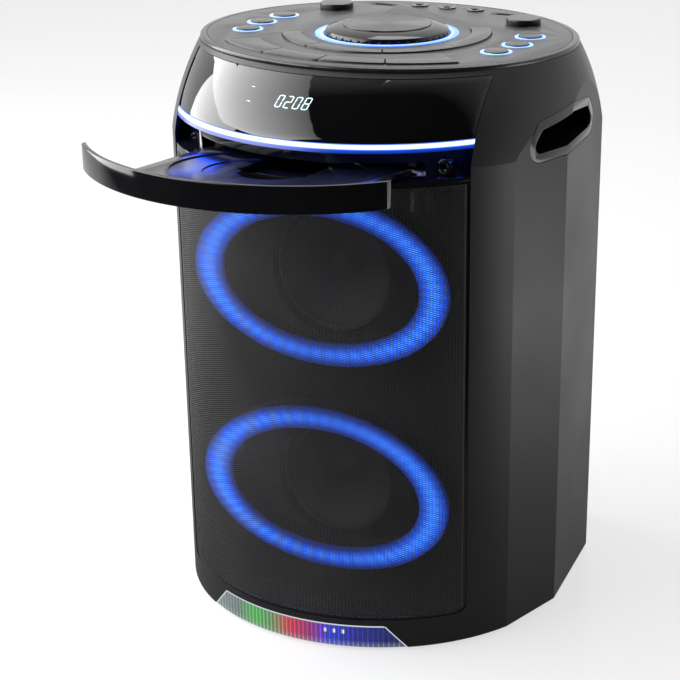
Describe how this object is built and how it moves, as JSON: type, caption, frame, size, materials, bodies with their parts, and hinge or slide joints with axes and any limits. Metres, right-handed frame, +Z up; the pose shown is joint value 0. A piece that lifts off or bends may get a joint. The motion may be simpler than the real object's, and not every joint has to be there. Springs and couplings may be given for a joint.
{
  "type": "disc karaoke speaker",
  "caption": "Floor-standing karaoke speaker with a faceted cabinet, round control deck, sliding disc drawer and lit woofers behind a curved grille",
  "frame": {"origin": "on the floor, under the middle of the whole object with its drawer open", "axes": "+Z up, -Y towards the front with the disc drawer, +X to the right as drawn from behind the drawer"},
  "size_m": [0.282, 0.3842, 0.398],
  "materials": {
    "shell_plastic": "satin black moulded plastic",
    "gloss_black": "gloss black moulded plastic",
    "brushed_dark": "dark brushed metal",
    "spun_metal": "spun dark metal",
    "grille_metal": "black perforated sheet",
    "clear_light": "clear ribbed light window",
    "light_guide": "blue light guide",
    "rubber": "black rubber",
    "wood": "pressed wood board",
    "board_green": "printed circuit board",
    "steel": "plated steel",
    "chrome": "bright plated ring",
    "nylon": "natural nylon",
    "cone_paper": "pressed black cone"
  },
  "bodies": {
    "cabinet": {"front_shell": "shell_plastic", "rear_shell": "shell_plastic", "handle_pockets": "shell_plastic", "base_plate": "shell_plastic", "rubber_feet": "rubber", "base_light_window": "clear_light", "led_strips": "board_green", "grille_frame": "gloss_black", "speaker_grille": "grille_metal", "drawer_fascia": "gloss_black", "front_sockets": "gloss_black", "light_bar": "light_guide", "display_window": "gloss_black", "display_module": "board_green", "baffle": "wood", "light_chambers": "shell_plastic", "light_rings": "light_guide", "woofer_frames": "steel", "woofer_surrounds": "rubber", "screws": "steel", "divider_shelf": "wood", "bass_port": "shell_plastic", "corner_blocks": "wood", "power_inlet": "shell_plastic", "main_board": "board_green", "amplifier_unit": "steel", "drive_chassis": "shell_plastic", "drive_motors": "steel", "deck_rim": "gloss_black", "control_deck": "brushed_dark", "deck_lights": "light_guide", "key_board": "board_green", "jack_sockets": "chrome", "usb_ports": "shell_plastic"},
    "drawer": {"disc_tray": "shell_plastic", "drawer_bezel": "gloss_black"},
    "loading_gear": {"loading_gear": "nylon"},
    "turntable": {"turntable": "nylon"},
    "disc_clamp": {"disc_clamp": "nylon"},
    "pickup_sled": {"pickup_sled": "shell_plastic"},
    "woofer_cone_upper": {"woofer_cone_upper": "cone_paper"},
    "woofer_cone_lower": {"woofer_cone_lower": "cone_paper"},
    "jog_knob": {"jog_knob": "gloss_black", "jog_disc": "spun_metal"},
    "dial_left": {"dial_left": "brushed_dark"},
    "dial_right": {"dial_right": "brushed_dark"},
    "ring_key_front_left": {"ring_key_front_left": "brushed_dark"},
    "ring_key_front_mid": {"ring_key_front_mid": "brushed_dark"},
    "ring_key_front_right": {"ring_key_front_right": "brushed_dark"},
    "ring_key_side_right": {"ring_key_side_right": "brushed_dark"},
    "row_key_1": {"row_key_1": "brushed_dark"},
    "row_key_2": {"row_key_2": "brushed_dark"},
    "row_key_3": {"row_key_3": "brushed_dark"},
    "row_key_4": {"row_key_4": "brushed_dark"},
    "round_key_left_rear": {"round_key_left_rear": "brushed_dark"},
    "round_key_left_mid": {"round_key_left_mid": "brushed_dark"},
    "round_key_left_front": {"round_key_left_front": "brushed_dark"},
    "round_key_right_rear": {"round_key_right_rear": "brushed_dark"},
    "round_key_right_mid": {"round_key_right_mid": "brushed_dark"},
    "round_key_right_front": {"round_key_right_front": "brushed_dark"}
  },
  "joints": [
    {"name": "drawer_slide", "type": "slide", "parent": "cabinet", "child": "drawer", "axis": [0, 0.9973, -0.0732], "range_m": [0, 0.108]},
    {"name": "loading_gear_spin", "type": "hinge", "parent": "cabinet", "child": "loading_gear", "pos_m": [0.0749, -0.03615, 0.32847], "axis": [0, 0.0732, 0.9973], "range_deg": [-890, 10]},
    {"name": "turntable_spin", "type": "hinge", "parent": "cabinet", "child": "turntable", "pos_m": [0, 0.00744, 0.32126], "axis": [0, 0.0732, 0.9973], "continuous": true},
    {"name": "clamp_spin", "type": "hinge", "parent": "cabinet", "child": "disc_clamp", "pos_m": [0, 0.00825, 0.33223], "axis": [0, 0.0732, 0.9973], "continuous": true},
    {"name": "sled_slide", "type": "slide", "parent": "cabinet", "child": "pickup_sled", "axis": [0, 0.9973, -0.0732], "range_m": [0, 0.036]},
    {"name": "jog_turn", "type": "hinge", "parent": "cabinet", "child": "jog_knob", "pos_m": [0, 0.06746, 0.392], "axis": [0, 0, 1], "continuous": true},
    {"name": "dial_left_turn", "type": "hinge", "parent": "cabinet", "child": "dial_left", "pos_m": [-0.0725, 0.13406, 0.392], "axis": [0, 0, 1], "range_deg": [-140, 140]},
    {"name": "dial_right_turn", "type": "hinge", "parent": "cabinet", "child": "dial_right", "pos_m": [0.0725, 0.13406, 0.392], "axis": [0, 0, 1], "range_deg": [-140, 140]},
    {"name": "cone_upper_stroke", "type": "slide", "parent": "cabinet", "child": "woofer_cone_upper", "axis": [0, 1, 0], "range_m": [-0.003, 0.003], "stiffness_N_per_m": 1200},
    {"name": "cone_lower_stroke", "type": "slide", "parent": "cabinet", "child": "woofer_cone_lower", "axis": [0, 1, 0], "range_m": [-0.003, 0.003], "stiffness_N_per_m": 1200},
    {"name": "ring_key_front_left_press", "type": "slide", "parent": "cabinet", "child": "ring_key_front_left", "axis": [0, 0, -1], "range_m": [0, 0.001], "stiffness_N_per_m": 400},
    {"name": "ring_key_front_mid_press", "type": "slide", "parent": "cabinet", "child": "ring_key_front_mid", "axis": [0, 0, -1], "range_m": [0, 0.001], "stiffness_N_per_m": 400},
    {"name": "ring_key_front_right_press", "type": "slide", "parent": "cabinet", "child": "ring_key_front_right", "axis": [0, 0, -1], "range_m": [0, 0.001], "stiffness_N_per_m": 400},
    {"name": "ring_key_side_right_press", "type": "slide", "parent": "cabinet", "child": "ring_key_side_right", "axis": [0, 0, -1], "range_m": [0, 0.001], "stiffness_N_per_m": 400},
    {"name": "row_key_1_press", "type": "slide", "parent": "cabinet", "child": "row_key_1", "axis": [0, 0, -1], "range_m": [0, 0.001], "stiffness_N_per_m": 400},
    {"name": "row_key_2_press", "type": "slide", "parent": "cabinet", "child": "row_key_2", "axis": [0, 0, -1], "range_m": [0, 0.001], "stiffness_N_per_m": 400},
    {"name": "row_key_3_press", "type": "slide", "parent": "cabinet", "child": "row_key_3", "axis": [0, 0, -1], "range_m": [0, 0.001], "stiffness_N_per_m": 400},
    {"name": "row_key_4_press", "type": "slide", "parent": "cabinet", "child": "row_key_4", "axis": [0, 0, -1], "range_m": [0, 0.001], "stiffness_N_per_m": 400},
    {"name": "round_key_left_rear_press", "type": "slide", "parent": "cabinet", "child": "round_key_left_rear", "axis": [0, 0, -1], "range_m": [0, 0.001], "stiffness_N_per_m": 400},
    {"name": "round_key_left_mid_press", "type": "slide", "parent": "cabinet", "child": "round_key_left_mid", "axis": [0, 0, -1], "range_m": [0, 0.001], "stiffness_N_per_m": 400},
    {"name": "round_key_left_front_press", "type": "slide", "parent": "cabinet", "child": "round_key_left_front", "axis": [0, 0, -1], "range_m": [0, 0.001], "stiffness_N_per_m": 400},
    {"name": "round_key_right_rear_press", "type": "slide", "parent": "cabinet", "child": "round_key_right_rear", "axis": [0, 0, -1], "range_m": [0, 0.001], "stiffness_N_per_m": 400},
    {"name": "round_key_right_mid_press", "type": "slide", "parent": "cabinet", "child": "round_key_right_mid", "axis": [0, 0, -1], "range_m": [0, 0.001], "stiffness_N_per_m": 400},
    {"name": "round_key_right_front_press", "type": "slide", "parent": "cabinet", "child": "round_key_right_front", "axis": [0, 0, -1], "range_m": [0, 0.001], "stiffness_N_per_m": 400}
  ],
  "couplings": [
    {"joint": "loading_gear_spin", "follows": "drawer_slide", "rad_per_m": -142.86},
    {"joint": "clamp_spin", "follows": "turntable_spin", "ratio": 1}
  ]
}
